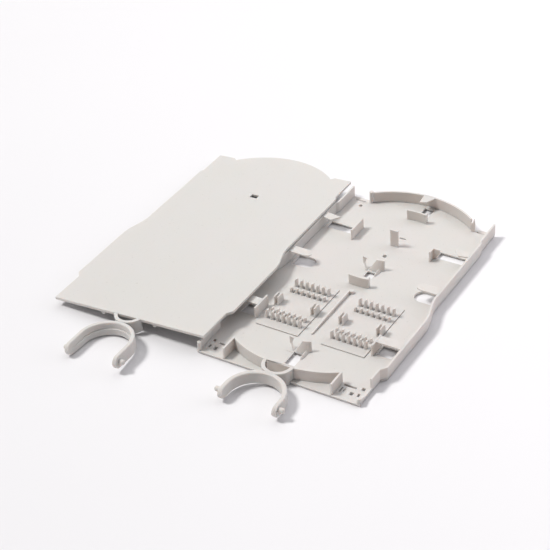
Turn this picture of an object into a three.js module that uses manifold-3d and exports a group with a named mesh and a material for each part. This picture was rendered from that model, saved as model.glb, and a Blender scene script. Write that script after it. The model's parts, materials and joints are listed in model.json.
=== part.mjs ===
// Hinged fibre splice tray with two splice holder inserts and a loose cover.
// Millimetres, +Z up. The tray lies flat on z = 0, its fibre coil end towards +Y, its hinge ring towards -Y.
// The frame origin is the middle of the tray's underside. The cover leans on the tray's left side wall.
import * as THREE from "three";
import { mergeVertices } from "three/addons/utils/BufferGeometryUtils.js";
import Module from "manifold-3d";

const wasm = await Module();
wasm.setup();

// ---------- driving dimensions ----------
const LENGTH = 200; // front edge to back corners
const FRONT_HALF = 58; // half widths of the stepped outline, front to back
const WIDE_HALF = 61.2;
const MID_HALF = 56.2;
const BACK_HALF = 54.8;
const STEP_Y = [26.3, 30.4, 84, 106.4, 175, 177.5]; // where the outline steps out, in and in again
const COIL_Y = 150.3; // centre of the fibre coil
const ARC_R = 62; // outside radius of the back arc
const ARC_HALF = 38; // half chord of the back arc
const PLATE = 2; // base plate thickness
const WALL_TOP = 10.3;
const WALL = 1.4; // wall thickness
const THIN = 1.2; // guide and fin thickness
const GUIDE_TOP = 9.5;
const KERB_END = 16; // where the front kerb meets the full side wall
const KERB = { left: { rail: 7.4, post: 8.4 }, right: { rail: 3.6, post: 5.6 } }; // tops at the front corners
const FINGER_PITCH = 4.05;
const FINGERS = 7;
const INSERT = { x: 23.75, half: 15.25, front: 41, back: 95.7, gap: 0.35, floor: 1, top: 2.6 };
const ROW_TALL = 18.85; // comb rows, from the middle of the insert
const ROW_SHORT = 12.3;
const POCKET_Y = 3.4; // centre of the D pocket's half circle
const POCKET_R = 8.2;
const POCKET_WALL = 2.3;
const TRAY_RING = { centre: -26.3, inner: 17.5, outer: 20.4, bottom: 1.8, pinY: -30.8, pinReach: 24.4 };
const COVER_RING = { centre: -26.5, inner: 17.1, outer: 19.7, bottom: -9.2, pinY: -38, pinReach: 23.2 };
const PIN_R = 1.85;
const PIN_DROP = 3.3; // pin centres, below the top of the ring
const COVER_PLATE = 2;
const LEDGE = { drop: 4.6, reach: 0.8 }; // step inside the cover's ring
const COVER_PLACE = { x: -110.67, y: 1.06, z: 10.4, roll: -0.5, tilt: -3.87, turn: 0.37 }; // leaning pose
const JOIN = 0.3; // gap between cover members
const ROUND = 10; // segments on small round pieces

// ---------- materials ----------
const plastic = (color, roughness) => new THREE.MeshStandardMaterial({ color, roughness, metalness: 0 });
const trayPlastic = plastic(0xe6e2dd, 0.55);
const insertPlastic = plastic(0xe4dfd8, 0.55);
const coverPlastic = plastic(0xe7e4df, 0.6);

// ---------- helpers ----------
const root = new THREE.Group();
root.position.y = -LENGTH / 2;
const cover = new THREE.Group();
root.add(cover);

function node(name, geometry, material = trayPlastic, parent = root) {
  const mesh = new THREE.Mesh(geometry, material);
  mesh.name = name;
  parent.add(mesh);
  return mesh;
}

function solid(geometry) {
  const plain = geometry.clone();
  plain.deleteAttribute("normal");
  plain.deleteAttribute("uv");
  const merged = mergeVertices(plain, 1e-4);
  return new wasm.Manifold(
    new wasm.Mesh({
      numProp: 3,
      vertProperties: new Float32Array(merged.attributes.position.array),
      triVerts: new Uint32Array(merged.index.array),
    }),
  );
}

function geometryOf(manifold) {
  const mesh = manifold.getMesh();
  const geometry = new THREE.BufferGeometry();
  geometry.setAttribute("position", new THREE.BufferAttribute(new Float32Array(mesh.vertProperties), 3));
  geometry.setIndex(new THREE.BufferAttribute(new Uint32Array(mesh.triVerts), 1));
  geometry.computeVertexNormals();
  return geometry;
}

const join = (...pieces) => geometryOf(pieces.map(solid).reduce((a, b) => a.add(b)));
const cut = (body, ...tools) => geometryOf(tools.map(solid).reduce((a, b) => a.subtract(b), solid(body)));

function shapeOf(points) {
  return new THREE.Shape(points.map(([x, y]) => new THREE.Vector2(x, y)));
}

// upright piece with a plan outline, from z0 to z1
function slab(shape, z0, z1, segments = 12) {
  const geometry = new THREE.ExtrudeGeometry(shape, {
    depth: z1 - z0,
    bevelEnabled: false,
    curveSegments: segments,
  });
  return geometry.translate(0, 0, z0);
}

function box(x0, x1, y0, y1, z0, z1) {
  const middle = [(x0 + x1) / 2, (y0 + y1) / 2, (z0 + z1) / 2];
  return new THREE.BoxGeometry(x1 - x0, y1 - y0, z1 - z0).translate(...middle);
}

function cylinder(radius, z0, z1, x, y, segments = ROUND) {
  return new THREE.CylinderGeometry(radius, radius, z1 - z0, segments)
    .rotateX(Math.PI / 2)
    .translate(x, y, (z0 + z1) / 2);
}

// band between two radii, angles in degrees, counter-clockwise
function band(cx, cy, inner, outer, from, to, z0, z1, segments = 24) {
  const a = THREE.MathUtils.degToRad(from);
  const b = THREE.MathUtils.degToRad(to);
  const shape = new THREE.Shape();
  shape.absarc(cx, cy, outer, a, b, false);
  shape.absarc(cx, cy, inner, b, a, true);
  return slab(shape, z0, z1, segments);
}

// outline made in the x-z plane and extruded along y
function crosswise(shape, y0, y1, segments = 6) {
  return new THREE.ExtrudeGeometry(shape, { depth: y1 - y0, bevelEnabled: false, curveSegments: segments })
    .rotateX(Math.PI / 2)
    .translate(0, y1, 0);
}

// outline made in the y-z plane and extruded along x
function lengthwise(shape, x0, x1, segments = 6) {
  return new THREE.ExtrudeGeometry(shape, { depth: x1 - x0, bevelEnabled: false, curveSegments: segments })
    .rotateX(Math.PI / 2)
    .rotateZ(Math.PI / 2)
    .translate(x0, 0, 0);
}

// skin over a row of four-cornered sections, each counter-clockwise as seen from the last one's side
function loft(sections) {
  const end = 4 * (sections.length - 1);
  const index = [0, 2, 1, 0, 3, 2, end, end + 1, end + 2, end, end + 2, end + 3];
  for (let start = 0; start < end; start += 4) {
    for (let i = 0; i < 4; i += 1) {
      const a = start + i;
      const b = start + ((i + 1) % 4);
      index.push(a, b, b + 4, a, b + 4, a + 4);
    }
  }
  const geometry = new THREE.BufferGeometry();
  geometry.setAttribute("position", new THREE.Float32BufferAttribute(sections.flat(2), 3));
  return geometry.setIndex(index);
}

const mirrored = (points) => points.map(([x, y]) => [-x, y]);
const sides = [
  ["left", -1],
  ["right", 1],
];
const spanX = (side, a, b) => (side < 0 ? [-b, -a] : [a, b]);
const sideBox = (side, a, b, y0, y1, z0, z1) => box(...spanX(side, a, b), y0, y1, z0, z1);
const sideShape = (side, shape) => shapeOf(shape.getPoints(12).map((p) => [side * p.x, p.y]));

// ---------- outline shared by the tray and the cover ----------
// right-hand edge from front to back, with an S-shaped step between the wide and the middle stretch
function edgePoints(from = 0) {
  const ramp = [0.25, 0.5, 0.75].map((t) => {
    const eased = t * t * (3 - 2 * t);
    return [WIDE_HALF + (MID_HALF - WIDE_HALF) * eased, STEP_Y[2] + (STEP_Y[3] - STEP_Y[2]) * t];
  });
  const all = [
    [FRONT_HALF, 0],
    [FRONT_HALF, STEP_Y[0]],
    [WIDE_HALF, STEP_Y[1]],
    [WIDE_HALF, STEP_Y[2]],
    ...ramp,
    [MID_HALF, STEP_Y[3]],
    [MID_HALF, STEP_Y[4]],
    [BACK_HALF, STEP_Y[5]],
    [BACK_HALF, LENGTH],
  ];
  return from > 0 ? [[FRONT_HALF, from], ...all.slice(1)] : all;
}

function outline() {
  const notch = [
    [ARC_HALF + 4, LENGTH],
    [ARC_HALF + 1.4, LENGTH - 2.4],
  ];
  const right = [...edgePoints(), ...notch];
  const shape = new THREE.Shape();
  shape.moveTo(...right[0]);
  right.slice(1).forEach((p) => shape.lineTo(...p));
  const start = Math.acos(ARC_HALF / ARC_R);
  shape.absarc(0, COIL_Y, ARC_R, start, Math.PI - start, false);
  mirrored(right)
    .reverse()
    .forEach((p) => shape.lineTo(...p));
  return shape;
}

const outlinePlate = (z0, z1) => slab(outline(), z0, z1, 28);

// ---------- tray base ----------
const FINGER_HOLE = { x: 43.2, y: 114.3, r: 6 };
const LATCH = { half: 3, y: 157.4, top: 14.8 };

function roundCutter(side) {
  const { x, y, r } = FINGER_HOLE;
  const slot = sideBox(side, x, x + 9, y - r, y + r, -1, PLATE + 1);
  return join(cylinder(r, -1, PLATE + 1, side * x, y, 28), slot);
}

// block the size of an insert's plate, grown by a margin
function insertSlab(side, margin, z0, z1) {
  const reach = INSERT.half + margin;
  const middle = side * INSERT.x;
  return box(middle - reach, middle + reach, INSERT.front - margin, INSERT.back + margin, z0, z1);
}

// opening through the plate, with a wider relief under it that leaves a thin edge
function windowCut(side, a, b, y0, y1) {
  const relief = sideBox(side, a - 1, b + 1, y0 - 1, y1 + 1, -1, PLATE - 1.1);
  return join(sideBox(side, a, b, y0, y1, -1, PLATE + 1), relief);
}

function baseCutters() {
  const through = [-1, PLATE + 1];
  const list = [
    windowCut(1, -2.6, 4.6, 14.2, 27), // in front of the front guide tab
    windowCut(1, -2.3, 4, 116.9, 123.6), // in front of the centre guide tab
    windowCut(1, -2, 5, 198, 208), // under the arc lip
    box(-7.4, -2.8, 25.2, 25.9, ...through), // beside the front guide tab
    box(-1.4, 3.5, 166.8, 168.2, ...through), // behind the latch tab
    cylinder(1.6, ...through, -0.3, 143.8, 14),
    cylinder(1.4, ...through, -43.9, 191, 14),
  ];
  for (const [, side] of sides) {
    list.push(
      windowCut(side, 44.2, 54.6, 47.4, 57.4), // under the front lips
      windowCut(side, 31.4, 52.4, 157.2, 164.6), // under the back lips
      sideBox(side, 42.5, 51, 196, 197.4, ...through), // entry slots at the back corners
      sideBox(side, 52.3, 53.9, 6.2, 9.2, ...through), // tie holes at the front corners
      sideBox(side, 52.1, 54.4, 12.8, 15.4, ...through),
      sideBox(side, 47.3, 49.8, 5.7, 8.8, ...through),
      sideBox(side, 40.4, 49.2, 12, 13.8, ...through),
      sideBox(side, 40.4, 41.4, 5.6, 10.4, ...through),
      sideBox(side, 42.7, 43.3, 6.5, 9.9, ...through),
      roundCutter(side),
      insertSlab(side, INSERT.gap, INSERT.floor, PLATE + 1),
    );
  }
  return list;
}

node("tray_base", cut(outlinePlate(0, PLATE), ...baseCutters()));

// ---------- side walls, kerbs and the back arc ----------
function wallPlan(points, thickness) {
  const inner = points.map(([x, y]) => [x - thickness, y]).reverse();
  return [...points, ...inner];
}

for (const [name, side] of sides) {
  const plan = wallPlan(edgePoints(KERB_END), WALL);
  node(`side_wall_${name}`, slab(shapeOf(side < 0 ? mirrored(plan) : plan), PLATE, WALL_TOP));
  const { rail, post } = KERB[name];
  const kerb = sideBox(side, FRONT_HALF - WALL, FRONT_HALF, 1.4, KERB_END, PLATE, rail);
  const bump = sideBox(side, FRONT_HALF - WALL, FRONT_HALF, 1.4, 5.4, PLATE, (rail + post) / 2);
  node(`corner_kerb_${name}`, join(kerb, bump, cylinder(1.3, PLATE, post, side * (FRONT_HALF - 1.3), 1.6)));
}

const arcAngle = THREE.MathUtils.radToDeg(Math.acos(ARC_HALF / ARC_R));
node("arc_wall", band(0, COIL_Y, ARC_R - WALL, ARC_R, arcAngle, 180 - arcAngle, PLATE, WALL_TOP, 28));
node("arc_end_post_left", cylinder(1.5, PLATE, WALL_TOP + 0.7, -39, LENGTH - 2));
const forkedEnd = shapeOf([
  [38.2, PLATE],
  [41.4, PLATE],
  [41.2, WALL_TOP - 1],
  [40.5, WALL_TOP + 2.2],
  [39.8, WALL_TOP - 0.6],
  [39.2, WALL_TOP - 1.8],
  [38.2, WALL_TOP - 1.2],
]);
node("arc_end_post_right", crosswise(forkedEnd, LENGTH - 3.8, LENGTH - 2.5));

// ---------- retaining lips ----------
const LIP = 1;
const LIP_Z = [WALL_TOP - LIP, WALL_TOP];

function lip(side, points) {
  return slab(shapeOf(side < 0 ? mirrored(points) : points), ...LIP_Z);
}

const midInside = MID_HALF - WALL;
const wideInside = WIDE_HALF - WALL;
const FIN_FRONT_X = 42.4;
for (const [name, side] of sides) {
  const front = [
    [FIN_FRONT_X + THIN / 2, 49.6],
    [wideInside, 49.6],
    [wideInside, 56.5],
    [FIN_FRONT_X + THIN / 2, 56.5],
  ];
  const middle = [
    [42.6, 110.4],
    [midInside, 110.4],
    [midInside, 117.4],
    [42, 117.6],
    [39.4, 113.6],
    [39.9, 111.7],
  ];
  const back = [
    [48.2, 155.3],
    [midInside, 157],
    [midInside, 163],
    [43.4, 161.5],
  ];
  node(`lip_front_${name}`, lip(side, front));
  node(`lip_middle_${name}`, lip(side, middle));
  node(`lip_back_${name}`, lip(side, back));
}
const arcInside = ARC_R - WALL - 0.05;
const arcLip = new THREE.Shape();
arcLip.moveTo(4.4, COIL_Y + 58);
arcLip.absarc(0, COIL_Y, arcInside, Math.acos(4.4 / arcInside), Math.acos(-4.4 / arcInside), false);
arcLip.lineTo(-3.6, COIL_Y + 51.6);
arcLip.lineTo(0.6, COIL_Y + 53.4);
node("lip_arc", slab(arcLip, ...LIP_Z, 4));

// ---------- fins and coil guides ----------
const fin = (x, y0, y1, z1) => box(x - THIN / 2, x + THIN / 2, y0, y1, PLATE, z1);
node("fin_front_left", fin(-FIN_FRONT_X, 45.4, 61, WALL_TOP));
node("fin_front_right", fin(FIN_FRONT_X, 45, 57.2, WALL_TOP));
node("fin_back_left", fin(-29.6, 151, 167.6, WALL_TOP - 0.4));
const gusset = shapeOf([
  [28.7, PLATE],
  [31, PLATE],
  [34.6, WALL_TOP - 3.6],
  [34.6, WALL_TOP - 0.4],
  [28.7, WALL_TOP - 0.4],
]);
node("fin_back_right", join(fin(29.3, 151.2, 156.6, WALL_TOP - 0.4), crosswise(gusset, 156, 156 + THIN)));

// curved coil guide with a short return at its right end
function coilGuide(radius, middle, half) {
  const faces = [radius - THIN / 2, radius + THIN / 2];
  const curve = band(0, COIL_Y, ...faces, middle - half, middle + half, PLATE, GUIDE_TOP, 8);
  const right = THREE.MathUtils.degToRad(middle > 180 ? middle + half : middle - half);
  const x = radius * Math.cos(right);
  const y = COIL_Y + radius * Math.sin(right);
  return join(curve, box(x - THIN, x, y - THIN / 4, y + 2.4, PLATE, GUIDE_TOP));
}
node("coil_guide_front", coilGuide(44.4, 270, 9.4));
node("coil_guide_back", coilGuide(41, 90, 10.4));

// curved tab whose face sweeps forward at its foot, with a low wedge running forward from its right half
const TAB_FOOT = [
  [0, 0],
  [3.2, -0.1],
  [6.2, 0.6],
  [8.4, 2.4],
  [10, 4.6],
];
const TAB_HEAD = [
  [4.1, 3.6],
  [5.4, 4.1],
  [6.6, 4.6],
  [7.9, 5.1],
  [9.2, 5.6],
];
const TAB_BACK = [-0.4, 1.1]; // from a point on the tab's front to the one behind it
const TAB_WEDGE = { edge: 7, crest: 0.3, reach: 2.6 }; // beside the window, in front of the tab's right half
const WEDGE_STATIONS = [
  { y: -2.5, height: 2.1, width: 1.9 },
  { y: -4.4, height: 1.3, width: 1.3 },
  { y: -5.2, height: 0.2, width: 0.6 },
];

function guideTab(x, y, turn) {
  const behind = ([px, py]) => [px + TAB_BACK[0], py + TAB_BACK[1]];
  const face = TAB_FOOT.map((foot, i) => [
    [...foot, PLATE],
    [...behind(foot), PLATE],
    [...behind(TAB_HEAD[i]), GUIDE_TOP],
    [...TAB_HEAD[i], GUIDE_TOP],
  ]);
  const { edge, crest, reach } = TAB_WEDGE;
  const stations = [{ y: reach + edge * turn, height: 2.1, width: 2 }, ...WEDGE_STATIONS];
  const wedge = stations.map((station) => [
    [edge, station.y, PLATE],
    [edge + station.width, station.y, PLATE],
    [edge + crest, station.y, PLATE + station.height],
    [edge, station.y, PLATE + station.height],
  ]);
  return join(loft(face).rotateZ(turn), loft(wedge)).translate(x, y, 0);
}
node("guide_tab_front", guideTab(-2.4, 26.5, 0));
node("guide_tab_centre", guideTab(-2.8, 125.2, -0.17));

// slender tongue leaning back and to the left, with a three-cornered hook at its top
function guidePin(x, y) {
  const tongue = box(-0.5, 0.5, -0.4, 0.4, 0, 5);
  tongue.applyMatrix4(new THREE.Matrix4().set(1, 0, -0.62, x, 0, 1, 0.56, y, 0, 0, 1, PLATE, 0, 0, 0, 1));
  const hook = shapeOf([
    [x - 3.6, PLATE + 3.2],
    [x - 2.6, PLATE + 3.6],
    [x - 0.7, GUIDE_TOP + 0.8],
    [x - 3.9, GUIDE_TOP + 1.4],
  ]);
  return join(tongue, crosswise(hook, y + 2, y + 3));
}
node("guide_pin_front", guidePin(-3.6, 27.6));
node("guide_pin_centre", guidePin(-3.6, 124.2));

const latchStem = box(-LATCH.half, LATCH.half, LATCH.y - THIN / 2, LATCH.y + THIN / 2, PLATE, LATCH.top);
const latchHook = box(-LATCH.half, LATCH.half, LATCH.y, LATCH.y + 1.5, LATCH.top - 1, LATCH.top);
node("latch_tab", join(latchStem, latchHook));

const ribSide = shapeOf([
  [47, PLATE],
  [97, PLATE],
  [97, PLATE + 2.3],
  [76, PLATE + 2.3],
  [58, PLATE + 1.8],
  [47, PLATE + 1.2],
]);
node("centre_rib", join(lengthwise(ribSide, -2, -1), cylinder(1.5, PLATE, PLATE + 2.3, 0, 97, 12)));

// ---------- wing walls and their end plates ----------
const END_PLATE = { x: 38.2, front: 0.6, back: 14.2 };
const pocketOuter = POCKET_R + POCKET_WALL;

function wingWall() {
  const shape = new THREE.Shape();
  const end = END_PLATE.x - WALL / 2;
  shape.moveTo(pocketOuter, POCKET_Y);
  shape.quadraticCurveTo(27, 5.8, end, END_PLATE.back - WALL);
  shape.lineTo(end, END_PLATE.back);
  shape.quadraticCurveTo(26.6, 7.3, pocketOuter, POCKET_Y + WALL);
  return shape;
}

for (const [name, side] of sides) {
  const { x, front, back } = END_PLATE;
  node(`wing_wall_${name}`, slab(sideShape(side, wingWall()), PLATE, WALL_TOP));
  node(`end_plate_${name}`, sideBox(side, x - WALL / 2, x + WALL / 2, front, back, PLATE, WALL_TOP));
}

// ---------- D pocket, C-shaped hinge ring and hinge pins ----------
function pocketShape(hollow) {
  const shape = new THREE.Shape();
  shape.moveTo(-pocketOuter, POCKET_Y + WALL);
  shape.absarc(0, POCKET_Y, pocketOuter, Math.PI, 2 * Math.PI, false);
  shape.lineTo(pocketOuter, POCKET_Y + WALL);
  if (hollow) shape.holes.push(new THREE.Path().absarc(0, POCKET_Y, POCKET_R, Math.PI, 2 * Math.PI, false));
  return shape;
}

// C-shaped ring whose arms end in eyes, rounded as seen from the side
function ringSolid({ centre, inner, outer, bottom, pinY }, top) {
  const shape = new THREE.Shape();
  shape.absarc(0, centre, outer, 0, Math.PI, false);
  shape.lineTo(-outer, pinY);
  shape.lineTo(-inner, pinY);
  shape.absarc(0, centre, inner, Math.PI, 0, true);
  shape.lineTo(inner, pinY);
  shape.lineTo(outer, pinY);
  const height = top - bottom;
  const eyes = [-1, 1].map((side) =>
    new THREE.CylinderGeometry(height / 2, height / 2, outer - inner, 24)
      .rotateZ(Math.PI / 2)
      .translate((side * (outer + inner)) / 2, pinY, bottom + height / 2),
  );
  return join(slab(shape, bottom, top, 20), ...eyes);
}

function hingePin(side, ring, z, gap = 0) {
  const start = ring.outer + gap;
  const length = ring.pinReach - start;
  return new THREE.CylinderGeometry(PIN_R, PIN_R, length, 14)
    .rotateZ(Math.PI / 2)
    .translate(side * (start + length / 2), ring.pinY, z);
}

const pocket = join(slab(pocketShape(true), 0, WALL_TOP, 20), slab(pocketShape(false), 0, PLATE, 20));
node("hinge_pocket", cut(pocket, box(-12, 12, 0, 8, -1, PLATE)));
node("hinge_ring", cut(ringSolid(TRAY_RING, WALL_TOP), slab(pocketShape(false), -1, WALL_TOP + 1, 20)));
for (const [name, side] of sides) {
  node(`hinge_pin_${name}`, hingePin(side, TRAY_RING, WALL_TOP - PIN_DROP));
}

// ---------- splice holder inserts ----------
const FINGER = { thick: 1.5, deep: 2.6, lean: 0.9 };
const STRIP = 0.4; // low strip that ties a row of fingers together
const fingerX = (x, i) => x + (i - (FINGERS - 1) / 2) * FINGER_PITCH;

// one row of comb fingers, each leaning over at its tip
function combRow(x, y, top) {
  const { thick, deep, lean } = FINGER;
  const z0 = INSERT.top;
  const row = [];
  for (let i = 0; i < FINGERS; i += 1) {
    const fx = fingerX(x, i);
    const face = new THREE.Shape();
    face.moveTo(fx - thick / 2, z0);
    face.lineTo(fx + thick / 2, z0);
    face.lineTo(fx + thick / 2, top - 2.2);
    face.quadraticCurveTo(fx + thick / 2, top - 0.6, fx + thick / 2 + lean, top);
    face.lineTo(fx - thick / 4, top);
    face.quadraticCurveTo(fx - thick / 2, top - 1.2, fx - thick / 2, top - 2.6);
    row.push(crosswise(face, y - deep / 2, y + deep / 2, 3));
  }
  const reach = ((FINGERS - 1) / 2) * FINGER_PITCH + thick / 2;
  return join(box(x - reach, x + reach, y + 0.4, y + deep / 2, z0, z0 + STRIP), ...row);
}

// plate of an insert, with a small hole in front of every gap between fingers
function insertPlate(side, x, y) {
  const holes = [];
  for (const row of [-ROW_TALL, -ROW_SHORT, ROW_SHORT, ROW_TALL]) {
    for (let i = 0; i < FINGERS - 1; i += 1) {
      const left = fingerX(x, i) + 1.2;
      holes.push(box(left, left + 1.2, y + row - 1.2, y + row, 0, PLATE + 1));
    }
  }
  return cut(insertSlab(side, 0, INSERT.floor, INSERT.top), ...holes);
}

// clip made of two equal prongs on a low foot
const CLIP = { wide: 3.3, prong: 0.8, front: -5.2, back: 1.8, top: 6.6 };

function sideClip(x, y) {
  const { wide, prong, front, back, top } = CLIP;
  const z0 = INSERT.top;
  const face = shapeOf([
    [y + front, z0],
    [y + back, z0],
    [y + back - 0.4, z0 + top - 1.6],
    [y + back - 1.6, z0 + top],
    [y + front, z0 + top - 0.2],
  ]);
  const foot = box(x, x + wide, y + front, y + back, z0, z0 + 0.5);
  return join(foot, lengthwise(face, x, x + prong), lengthwise(face, x + wide - prong, x + wide));
}

for (const [name, side] of sides) {
  const x = side * INSERT.x;
  const y = (INSERT.front + INSERT.back) / 2;
  const part = (label, geometry) => node(`insert_${name}_${label}`, geometry, insertPlastic);
  part("plate", insertPlate(side, x, y));
  part("comb_front_tall", combRow(x, y - ROW_TALL, 9));
  part("comb_front_short", combRow(x, y - ROW_SHORT, 6.5));
  part("comb_back_short", combRow(x, y + ROW_SHORT, 6.5));
  part("comb_back_tall", combRow(x, y + ROW_TALL, 9));
  part("clip_a", sideClip(x - INSERT.half + 0.2, y));
  part("clip_b", sideClip(x + INSERT.half - CLIP.wide, y));
}

// ---------- cover, built flat and then leaned on the left side wall ----------
const covered = (name, geometry) => node(name, geometry, coverPlastic, cover);
const LATCH_HOLE = [-2.9, 2.9, 155.9, 159.9];
covered("cover_plate", cut(outlinePlate(-COVER_PLATE, 0), box(...LATCH_HOLE, -COVER_PLATE - 1, 1)));

const ledgeFaces = [COVER_RING.inner - LEDGE.reach, COVER_RING.inner + 0.6];
const ledge = band(0, COVER_RING.centre, ...ledgeFaces, 0, 180, 0, 1, 20);
ledge.scale(1, 1, -COVER_RING.bottom - LEDGE.drop).translate(0, 0, COVER_RING.bottom);
const coverRing = join(
  ringSolid(COVER_RING, 0),
  ledge,
  slab(pocketShape(true), COVER_RING.bottom, 0, 20),
);
covered("cover_ring", cut(coverRing, box(-12, 12, -JOIN, 8, COVER_RING.bottom - 1, 1)));
const stopTop = -COVER_PLATE - JOIN;
for (const [name, side] of sides) {
  covered(`cover_pin_${name}`, hingePin(side, COVER_RING, -PIN_DROP - 1.4, JOIN));
  covered(`cover_stop_${name}`, sideBox(side, 18.8, 21.2, 0.4, 2.4, stopTop - 1.4, stopTop));
}

const { x, y, z, roll, tilt, turn } = COVER_PLACE;
cover.position.set(x, y, z);
cover.rotation.set(...[roll, tilt, turn].map(THREE.MathUtils.degToRad), "ZYX");

export default root;
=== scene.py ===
"""Fibre splice tray with two splice holder inserts and a loose cover, moulded in off-white plastic.

Lengths are in millimetres and become metres through MM. The tray is drawn with y = 0 at its front edge,
and the frame's origin is the middle of the tray, so drawn points move back by HALF_LENGTH.
"""

import json
import math

import bmesh
import bpy
from mathutils import Euler, Matrix, Vector

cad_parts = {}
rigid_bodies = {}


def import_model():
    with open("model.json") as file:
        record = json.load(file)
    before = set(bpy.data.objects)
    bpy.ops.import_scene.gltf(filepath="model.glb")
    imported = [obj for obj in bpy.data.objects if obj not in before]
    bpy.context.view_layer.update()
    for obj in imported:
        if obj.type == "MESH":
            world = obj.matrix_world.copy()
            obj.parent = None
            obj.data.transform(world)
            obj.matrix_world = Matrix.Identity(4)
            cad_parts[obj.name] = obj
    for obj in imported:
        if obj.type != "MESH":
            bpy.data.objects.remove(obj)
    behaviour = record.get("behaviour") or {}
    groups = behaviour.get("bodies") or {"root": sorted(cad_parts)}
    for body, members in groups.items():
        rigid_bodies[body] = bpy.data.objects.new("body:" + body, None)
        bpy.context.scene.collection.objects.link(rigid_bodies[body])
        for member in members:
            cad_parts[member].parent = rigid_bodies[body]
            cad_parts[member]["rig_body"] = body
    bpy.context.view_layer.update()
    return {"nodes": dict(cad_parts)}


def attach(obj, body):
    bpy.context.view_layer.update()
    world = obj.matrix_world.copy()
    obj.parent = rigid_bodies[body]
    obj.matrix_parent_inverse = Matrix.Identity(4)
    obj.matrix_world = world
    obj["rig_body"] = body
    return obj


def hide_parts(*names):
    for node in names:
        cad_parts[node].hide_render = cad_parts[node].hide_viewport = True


MM = 0.001
HALF_LENGTH = 100
PLATE = 2  # top of the tray's base plate
WALL_TOP = 10.3
INSERT_TOP = 2.6
LEVEL_WITHIN = 0.01  # heights closer than this count as the same

# where the base plate ends, as drawn
SIDE_X = 54.7  # points further out than this belong to the plate's sides
COIL_Y = 150.3  # centre of the fibre coil and of the back arc
ARC_EDGE = 61.5  # just inside the plate's round back edge, measured from the coil's centre
ARC_FRONT_Y = 197  # the plate's back edges lie behind this
WALL_FRONT_Y = 15.9  # the side walls start just behind this

# retaining lips, which run into the walls
LIP_DROP = 0.04  # a lip's top is a hair below the wall's top
LIP_INTO_WALL = 0.5
LIP_ROOT_X = 54.75  # points of a side lip further out than this lie at the side wall
ARC_LIP_ROOT = 60.4  # points of the arc lip further from COIL_Y than this lie at the back arc

# finish of the mouldings
SINK = 0.3  # how far a member reaches into the one it stands on
ROUNDING = 0.22  # edge radius
INSERT_ROUNDING = 0.15
TAPER = 0.6  # how far each side of the tray is drawn in at its underside
SHARP_ANGLE = math.radians(40)  # shading breaks at edges sharper than this
ROUNDED_ANGLE = math.radians(28)  # edges sharper than this are rounded
FLAT_ANGLE = math.radians(1)  # faces that meet at less than this are one face
MERGE_WITHIN = 0.003  # points closer than this are one point

# splice holder inserts
SPLICE_X = 23.75
SPLICE_Y = 68.35
ROWS = {  # distance from the insert's centre and height of the tips
    "front_tall": (-18.85, 9),
    "front_short": (-12.3, 6.5),
    "back_short": (12.3, 6.5),
    "back_tall": (18.85, 9),
}
FINGERS = 7
FINGER_PITCH = 4.05
FINGER_CORNER = 0.16
STRIP_CORNER = 0.1
STRIP_OFFSET = 0.75  # the strip that joins the fingers lies behind their middle

# hinge rings: radii, height range, how far the shape stays inside that range, and the pins
TRAY_RING = {
    "centre": -26.3,
    "inner": 17.5,
    "outer": 20.4,
    "bottom": 1.8,
    "top": WALL_TOP,
    "inset": 0.04,
    "pin_y": -30.8,
    "pin_z": 7,
    "pin_reach": 24.4,
}
COVER_RING = {
    "centre": -26.5,
    "inner": 17.1,
    "outer": 19.7,
    "bottom": -9.2,
    "top": 0,
    "inset": 0.03,
    "pin_y": -38,
    "pin_z": -4.7,
    "pin_reach": 23.2,
}
PIN_RADIUS = 1.85
ARC_STEPS = 40
EYE_STEPS = 9
EYE_TURN = (2, 88)  # degrees through which an arm's end is rounded off
RING_CORNER = 0.4
LEDGE_REACH = 0.8  # step on the inside of the cover's ring
LEDGE_TOP = -4.6
LEDGE_SLOPE = 0.1
POCKET = {"centre": 3.4, "inner": 8.2, "outer": 10.5, "back": 0.6, "top": -0.02, "steps": 24}

FLOOR_TONES = ((0.79, 0.78, 0.795), (0.8, 0.79, 0.805))
FLOOR_Z = -0.0002  # in metres, just clear of the tray's underside

TRAY_DRAWING = Matrix.Translation((0, -HALF_LENGTH, 0))
COVER_TURN = Euler([math.radians(a) for a in (-0.5, -3.87, 0.37)], "XYZ")
COVER_DRAWING = TRAY_DRAWING @ Matrix.Translation((-110.67, 1.06, 10.4)) @ COVER_TURN.to_matrix().to_4x4()

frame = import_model()


# ---------- moulded plastic ----------
def add_noise(tree, scale, detail, stretch=(1, 1, 1)):
    """Noise fixed to the object, with scale in features per metre."""
    place = tree.nodes.new("ShaderNodeTexCoord")
    mapping = tree.nodes.new("ShaderNodeMapping")
    mapping.inputs["Scale"].default_value = stretch
    noise = tree.nodes.new("ShaderNodeTexNoise")
    noise.inputs["Scale"].default_value = scale
    noise.inputs["Detail"].default_value = detail
    tree.links.new(place.outputs["Object"], mapping.inputs["Vector"])
    tree.links.new(mapping.outputs["Vector"], noise.inputs["Vector"])
    return noise.outputs["Fac"]


def add_range(tree, value, low, high, to_low, to_high):
    """Maps value from low..high to to_low..to_high, clamped."""
    node = tree.nodes.new("ShaderNodeMapRange")
    tree.links.new(value, node.inputs["Value"])
    node.inputs["From Min"].default_value = low
    node.inputs["From Max"].default_value = high
    node.inputs["To Min"].default_value = to_low
    node.inputs["To Max"].default_value = to_high
    return node.outputs["Result"]


def add_colour_mix(tree, share, first, second):
    """Mixes two colours; either may be a colour or another node's output."""
    node = tree.nodes.new("ShaderNodeMix")
    node.data_type = "RGBA"
    tree.links.new(share, node.inputs["Factor"])
    for socket, colour in ((node.inputs["A"], first), (node.inputs["B"], second)):
        if isinstance(colour, bpy.types.NodeSocket):
            tree.links.new(colour, socket)
        else:
            socket.default_value = (*colour, 1)
    return node.outputs["Result"]


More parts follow.
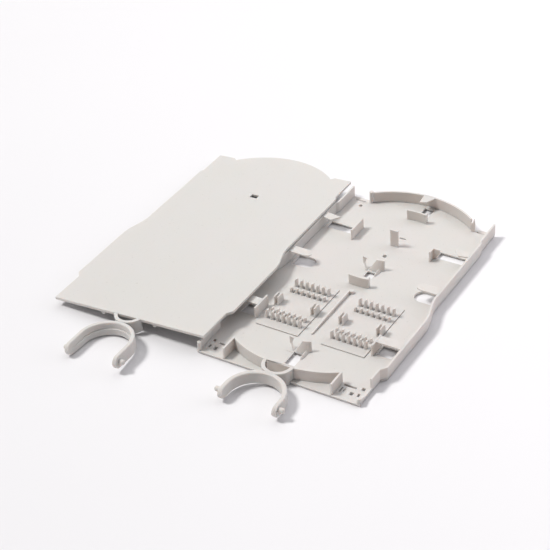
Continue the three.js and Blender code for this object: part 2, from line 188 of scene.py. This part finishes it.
def add_bump(tree, height, strength, distance):
    node = tree.nodes.new("ShaderNodeBump")
    node.inputs["Strength"].default_value = strength
    node.inputs["Distance"].default_value = distance
    tree.links.new(height, node.inputs["Height"])
    return node.outputs["Normal"]


def moulded_plastic(name, main, warm, dusty, roughness):
    """Matt plastic: a main colour with faint warm patches, dusty specks, scuffs and fine grain."""
    material = bpy.data.materials.new(name)
    material.use_nodes = True
    tree = material.node_tree
    shader = tree.nodes["Principled BSDF"]
    shader.inputs["Specular IOR Level"].default_value = 0.3
    shader.inputs["Subsurface Weight"].default_value = 0.6
    shader.inputs["Subsurface Radius"].default_value = (1, 0.8, 0.7)
    shader.inputs["Subsurface Scale"].default_value = 0.003
    patches = add_range(tree, add_noise(tree, 24, 2), 0.4, 0.62, 0, 1)
    specks = add_range(tree, add_noise(tree, 620, 3), 0.66, 0.74, 0, 0.6)
    scuffs = add_range(tree, add_noise(tree, 50, 4, (1, 14, 1)), 0.6, 0.75, 0, 1)
    colour = add_colour_mix(tree, patches, main, warm)
    colour = add_colour_mix(tree, specks, colour, dusty)
    tree.links.new(colour, shader.inputs["Base Color"])
    tree.links.new(add_range(tree, scuffs, 0, 1, roughness, roughness - 0.12), shader.inputs["Roughness"])
    grain = add_noise(tree, 2600, 2)
    tree.links.new(add_bump(tree, grain, 0.25, 0.00003), shader.inputs["Normal"])
    return material


PLASTICS = {  # main colour, warm patches, dusty specks, roughness
    "tray_plastic": ((0.62, 0.6, 0.575), (0.63, 0.6, 0.58), (0.5, 0.48, 0.45), 0.55),
    "insert_plastic": ((0.61, 0.585, 0.56), (0.62, 0.59, 0.57), (0.5, 0.47, 0.44), 0.55),
    "cover_plastic": ((0.625, 0.61, 0.585), (0.63, 0.61, 0.59), (0.52, 0.5, 0.47), 0.6),
}
MATERIALS = {slot: moulded_plastic(slot, *look) for slot, look in PLASTICS.items()}
SLOT_OF_BODY = {
    "tray": "tray_plastic",
    "insert_left": "insert_plastic",
    "insert_right": "insert_plastic",
    "cover": "cover_plastic",
}


# ---------- making pieces ----------
def finish_piece(node, bm, drawing):
    """Turns a mesh drawn in millimetres into the piece that stands for a CAD node."""
    bmesh.ops.recalc_face_normals(bm, faces=bm.faces)
    mesh = bpy.data.meshes.new(f"{node}_look")
    bm.to_mesh(mesh)
    bm.free()
    mesh.transform(Matrix.Scale(MM, 4) @ drawing)
    mesh.polygons.foreach_set("use_smooth", [True] * len(mesh.polygons))
    mesh.set_sharp_from_angle(angle=SHARP_ANGLE)
    piece = bpy.data.objects.new(f"{node}_look", mesh)
    bpy.context.scene.collection.objects.link(piece)
    piece.modifiers.new("even_shading", "WEIGHTED_NORMAL").keep_sharp = True
    body = frame["nodes"][node]["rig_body"]
    slot = SLOT_OF_BODY[body]
    mesh.materials.append(MATERIALS[slot])
    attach(piece, body)
    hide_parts(node)


def softened(node, drawing, reach=None, stays_sharp=None, width=ROUNDING):
    """A CAD node's shape with rounded edges.

    reach(point) gives each point's new place before the rounding; stays_sharp(edge) says which edges
    are left alone.
    """
    bm = bmesh.new()
    bm.from_mesh(frame["nodes"][node].data)
    bm.transform(drawing.inverted() @ Matrix.Scale(1 / MM, 4))
    bmesh.ops.remove_doubles(bm, verts=bm.verts, dist=MERGE_WITHIN)
    bmesh.ops.dissolve_limit(bm, angle_limit=FLAT_ANGLE, verts=bm.verts, edges=bm.edges)
    if reach:
        for vert in bm.verts:
            vert.co = reach(vert.co)
    edges = [e for e in bm.edges if e.is_manifold and e.calc_face_angle() > ROUNDED_ANGLE]
    if stays_sharp:
        edges = [e for e in edges if not stays_sharp(e)]
    bmesh.ops.bevel(bm, geom=edges, offset=width, segments=2, profile=0.6, affect="EDGES", clamp_overlap=True)
    many_sided = [f for f in bm.faces if len(f.verts) > 4]
    bmesh.ops.triangulate(bm, faces=many_sided, quad_method="BEAUTY", ngon_method="BEAUTY")
    finish_piece(node, bm, drawing)


def loft(bm, loops):
    """Skin over a row of loops with equally many points, closed by a cap at each end."""
    rings = [[bm.verts.new(p) for p in loop] for loop in loops]
    for a, b in zip(rings, rings[1:]):
        for i in range(len(a)):
            j = (i + 1) % len(a)
            bm.faces.new((a[i], a[j], b[j], b[i]))
    bm.faces.new(reversed(rings[0]))
    bm.faces.new(rings[-1])


def rounded_box_loop(x, y, z, half_x, half_y, corner):
    """Level loop of a box with cut corners."""
    a = half_x - corner
    b = half_y - corner
    right = [(a, -half_y), (half_x, -b), (half_x, b), (a, half_y)]
    left = [(-a, half_y), (-half_x, b), (-half_x, -b), (-a, -half_y)]
    return [Vector((x + u, y + v, z)) for u, v in right + left]


def round_loop(centre, radius, points=16):
    """Circle round a centre, in the plane across the hinge axis."""
    angles = [2 * math.pi * i / points for i in range(points)]
    return [centre + radius * Vector((0, math.cos(a), math.sin(a))) for a in angles]


# ---------- the tray's base plate and what stands on it ----------
def level_with_plate(co):
    return abs(co.z - PLATE) < LEVEL_WITHIN


def outside_coil(co):
    """Points at the plate's sides, and all outside the circle of the back arc."""
    return abs(co.x) > SIDE_X or math.hypot(co.x, co.y - COIL_Y) > ARC_EDGE


def sunk_in_plate(co):
    """Members that stand on the plate reach a little into it."""
    return Vector((co.x, co.y, co.z - SINK)) if level_with_plate(co) else co


def flush_with_plate(edge):
    """Edges level with the plate's top face, where a wall stands flush with the plate's side."""
    return all(level_with_plate(v.co) for v in edge.verts)


def crisp_on_base(edge):
    """Top edges of the plate under its outer walls, and of its openings outside the arc's circle."""
    return flush_with_plate(edge) and all(v.co.y > WALL_FRONT_Y and outside_coil(v.co) for v in edge.verts)


def drawn_in_below(co):
    """The plate's outside tapers in towards its underside."""
    drawn_in = co.copy()
    if co.z > LEVEL_WITHIN:
        return drawn_in
    if abs(co.x) > SIDE_X:
        drawn_in.x -= math.copysign(TAPER, co.x)
    if co.y < LEVEL_WITHIN:
        drawn_in.y += TAPER
    elif co.y > ARC_FRONT_Y and outside_coil(co):
        drawn_in.y -= TAPER
    return drawn_in


STANDING = [
    "fin_front_left",
    "fin_front_right",
    "fin_back_left",
    "fin_back_right",
    "coil_guide_front",
    "coil_guide_back",
    "guide_tab_front",
    "guide_tab_centre",
    "guide_pin_front",
    "guide_pin_centre",
    "latch_tab",
    "centre_rib",
    "wing_wall_left",
    "wing_wall_right",
    "end_plate_left",
    "end_plate_right",
    "arc_end_post_left",
    "arc_end_post_right",
]
FLUSH = ["side_wall_left", "side_wall_right", "corner_kerb_left", "corner_kerb_right", "arc_wall"]
LIPS = [f"lip_{place}_{side}" for place in ("front", "middle", "back") for side in ("left", "right")]


def lip_reach(co):
    """The lips' outer ends run into the side wall."""
    step = LIP_INTO_WALL if abs(co.x) > LIP_ROOT_X else 0
    return Vector((co.x + math.copysign(step, co.x), co.y, co.z - LIP_DROP))


def arc_lip_reach(co):
    """The arc lip's outer edge runs into the back arc."""
    step = LIP_INTO_WALL if math.hypot(co.x, co.y - COIL_Y) > ARC_LIP_ROOT else 0
    return Vector((co.x, co.y + step, co.z - LIP_DROP))


# ---------- hinge rings and pins ----------
def ring_path(ring):
    """Points along the middle of a C-shaped ring, each with its outward direction and half height factor."""
    middle = (ring["inner"] + ring["outer"]) / 2
    eye = (ring["top"] - ring["bottom"]) / 2
    start, end = EYE_TURN
    turns = [math.radians(start + (end - start) * i / EYE_STEPS) for i in range(EYE_STEPS + 1)]
    arm = [(ring["pin_y"] - eye * math.sin(t), math.cos(t)) for t in turns]
    first = [(Vector((middle, y, 0)), Vector((1, 0, 0)), h) for y, h in reversed(arm)]
    last = [(Vector((-middle, y, 0)), Vector((-1, 0, 0)), h) for y, h in arm]
    arc = []
    for i in range(ARC_STEPS + 1):
        angle = math.pi * i / ARC_STEPS
        out = Vector((math.cos(angle), math.sin(angle), 0))
        arc.append((Vector((0, ring["centre"], 0)) + middle * out, out, 1))
    return first, arc, last


def ring_loop(ring, point, out, height, ledge=0):
    """Cross-section of a ring: a tall rounded rectangle, with a step on its inner side."""
    half = (ring["outer"] - ring["inner"]) / 2
    centre = (ring["top"] + ring["bottom"]) / 2
    low = centre - (centre - ring["bottom"] - ring["inset"]) * height
    high = centre + (ring["top"] - ring["inset"] - centre) * height
    step = min(max(LEDGE_TOP, low), high) if ledge else (low + high) / 2
    corner = min(RING_CORNER, (high - low) / 4)
    section = [
        (half - corner, low),
        (half, low + corner),
        (half, high - corner),
        (half - corner, high),
        (-half + corner, high),
        (-half, high - corner),
        (-half, step + LEDGE_SLOPE),
        (-half - ledge, step),
        (-half - ledge, low + corner),
        (-half + corner - ledge, low),
    ]
    return [point + a * out + Vector((0, 0, z)) for a, z in section]


def add_ring(bm, ring, ledge=0):
    """C-shaped ring with round eyes at the ends of its arms and a ledge along its arc only."""
    first, arc, last = ring_path(ring)
    loops = [ring_loop(ring, *station) for station in first]
    loops += [ring_loop(ring, *station, ledge=ledge) for station in arc]
    loops += [ring_loop(ring, *station) for station in last]
    loft(bm, loops)


def tray_ring():
    bm = bmesh.new()
    add_ring(bm, TRAY_RING)
    finish_piece("hinge_ring", bm, TRAY_DRAWING)


def pin(node, ring, side, drawing):
    """Round hinge pin with a rounded end, outside an arm of a ring."""
    reach = ring["pin_reach"]
    sections = [  # distance out, share of the radius
        (ring["outer"] - SINK, 1),
        (reach - 1.1, 0.97),
        (reach - 0.5, 0.86),
        (reach - 0.1, 0.6),
        (reach, 0.3),
    ]
    bm = bmesh.new()
    centres = [Vector((side * x, ring["pin_y"], ring["pin_z"])) for x, share in sections]
    loft(bm, [round_loop(c, PIN_RADIUS * share) for c, (x, share) in zip(centres, sections)])
    finish_piece(node, bm, drawing)


# ---------- splice combs ----------
def finger(bm, x, y, top):
    """Comb finger whose upper part curls over to the right."""
    sections = [  # height, lean, half width, half depth
        (INSERT_TOP - SINK, 0, 0.84, 1.42),
        (INSERT_TOP + 0.3, 0, 0.76, 1.32),
        (top - 2.3, 0, 0.72, 1.28),
        (top - 1.3, 0.22, 0.7, 1.24),
        (top - 0.6, 0.55, 0.64, 1.14),
        (top - 0.15, 0.88, 0.48, 0.98),
        (top, 0.98, 0.24, 0.7),
    ]
    loft(bm, [rounded_box_loop(x + lean, y, z, hx, hy, FINGER_CORNER) for z, lean, hx, hy in sections])


def comb(node, x, y, top):
    """Row of fingers, joined at their feet by a low strip."""
    bm = bmesh.new()
    middle = (FINGERS - 1) / 2
    reach = middle * FINGER_PITCH
    for i in range(FINGERS):
        finger(bm, x + (i - middle) * FINGER_PITCH, y, top)
    strip = [  # height, half depth
        (INSERT_TOP - SINK, 0.4),
        (INSERT_TOP + 0.3, 0.36),
        (INSERT_TOP + 0.4, 0.28),
    ]
    loft(bm, [rounded_box_loop(x, y + STRIP_OFFSET, z, reach, half, STRIP_CORNER) for z, half in strip])
    finish_piece(node, bm, TRAY_DRAWING)


# ---------- cover ----------
def add_pocket(bm):
    """D-shaped pocket that ties the cover's ring to its plate."""
    inner, outer = POCKET["inner"], POCKET["outer"]
    low, high = COVER_RING["bottom"], POCKET["top"]
    sections = []
    for i in range(POCKET["steps"] + 1):
        angle = math.pi + math.pi * i / POCKET["steps"]
        x, y = math.cos(angle), math.sin(angle)
        ends = [(r * x, min(POCKET["centre"] + r * y, POCKET["back"])) for r in (inner, outer)]
        corners = [(ends[0], low), (ends[1], low), (ends[1], high), (ends[0], high)]
        sections.append([Vector((*end, z)) for end, z in corners])
    loft(bm, sections)


def cover_ring():
    bm = bmesh.new()
    add_ring(bm, COVER_RING, ledge=LEDGE_REACH)
    add_pocket(bm)
    finish_piece("cover_ring", bm, COVER_DRAWING)


# ---------- build ----------
for node in STANDING:
    softened(node, TRAY_DRAWING, reach=sunk_in_plate)
for node in FLUSH:
    softened(node, TRAY_DRAWING, stays_sharp=flush_with_plate)
for node in LIPS:
    softened(node, TRAY_DRAWING, reach=lip_reach)
softened("lip_arc", TRAY_DRAWING, reach=arc_lip_reach)
softened("tray_base", TRAY_DRAWING, reach=drawn_in_below, stays_sharp=crisp_on_base)
softened("hinge_pocket", TRAY_DRAWING, stays_sharp=flush_with_plate)
tray_ring()
for name, side in (("left", -1), ("right", 1)):
    pin(f"hinge_pin_{name}", TRAY_RING, side, TRAY_DRAWING)
    pin(f"cover_pin_{name}", COVER_RING, side, COVER_DRAWING)
    softened(f"cover_stop_{name}", COVER_DRAWING)
    softened(f"insert_{name}_plate", TRAY_DRAWING, width=INSERT_ROUNDING)
    softened(f"insert_{name}_clip_a", TRAY_DRAWING)
    softened(f"insert_{name}_clip_b", TRAY_DRAWING)
    for row, (offset, top) in ROWS.items():
        comb(f"insert_{name}_comb_{row}", side * SPLICE_X, SPLICE_Y + offset, top)
softened("cover_plate", COVER_DRAWING)
cover_ring()


# ---------- floor, light and camera ----------
def paper_floor():
    """Pale seamless paper under the object."""
    bm = bmesh.new()
    bmesh.ops.create_grid(bm, x_segments=8, y_segments=8, size=6)
    mesh = bpy.data.meshes.new("floor")
    bm.to_mesh(mesh)
    bm.free()
    floor = bpy.data.objects.new("floor", mesh)
    bpy.context.scene.collection.objects.link(floor)
    floor.location.z = FLOOR_Z
    paper = bpy.data.materials.new("paper")
    paper.use_nodes = True
    shader = paper.node_tree.nodes["Principled BSDF"]
    tone = add_range(paper.node_tree, add_noise(paper.node_tree, 3, 1), 0.3, 0.7, 0, 1)
    colour = add_colour_mix(paper.node_tree, tone, *FLOOR_TONES)
    paper.node_tree.links.new(colour, shader.inputs["Base Color"])
    shader.inputs["Roughness"].default_value = 0.9
    shader.inputs["Specular IOR Level"].default_value = 0.1
    mesh.materials.append(paper)


def add_lamp(light, colour, location):
    """Puts a light at a place, shining towards the middle of the tray."""
    light.color = colour
    lamp = bpy.data.objects.new(light.name, light)
    lamp.location = location
    lamp.rotation_mode = "QUATERNION"
    lamp.rotation_quaternion = Vector(location).to_track_quat("Z", "Y")
    bpy.context.scene.collection.objects.link(lamp)


def add_disk(name, size, energy, colour, location):
    light = bpy.data.lights.new(name, "AREA")
    light.shape = "DISK"
    light.size = size
    light.energy = energy
    add_lamp(light, colour, location)


def lights():
    """Soft key from the left, a wide overhead, and a weak cool fill from behind on the right."""
    key = bpy.data.lights.new("key", "SUN")
    key.energy = 2.3
    key.angle = math.radians(14)
    add_lamp(key, (1, 0.99, 0.97), (-0.61, -0.25, 1))
    add_disk("overhead", 2.4, 15, (1, 1, 1), (-0.2, 0.8, 1.5))
    add_disk("fill", 0.6, 1.8, (0.97, 0.94, 1), (0.55, 0.45, 0.3))
    world = bpy.data.worlds.new("studio")
    world.use_nodes = True
    world.node_tree.nodes["Background"].inputs["Color"].default_value = (0.97, 0.97, 1, 1)
    world.node_tree.nodes["Background"].inputs["Strength"].default_value = 0.25
    bpy.context.scene.world = world


def camera():
    """Camera set by the direction it looks from, its roll, and the point on the table it looks at."""
    azimuth, elevation, roll = (math.radians(a) for a in (32.704, 35.611, -3.507))
    target = Vector((-56.79, -5.746, 0)) * MM
    distance = 1115.4 * MM
    level, rise = math.cos(elevation), math.sin(elevation)
    back = Vector((math.sin(azimuth) * level, -math.cos(azimuth) * level, rise))
    right = Vector((0, 0, 1)).cross(back).normalized()
    up = back.cross(right)
    x_axis = math.cos(roll) * right + math.sin(roll) * up
    y_axis = -math.sin(roll) * right + math.cos(roll) * up
    data = bpy.data.cameras.new("camera")
    data.lens = 109.587
    data.sensor_width = 36
    data.clip_start = 0.05
    data.clip_end = 50
    lens = bpy.data.objects.new("camera", data)
    bpy.context.scene.collection.objects.link(lens)
    lens.matrix_world = Matrix((x_axis, y_axis, back)).transposed().to_4x4()
    lens.location = target + distance * back
    bpy.context.scene.camera = lens


paper_floor()
lights()
camera()
bpy.context.scene.view_settings.view_transform = "Standard"
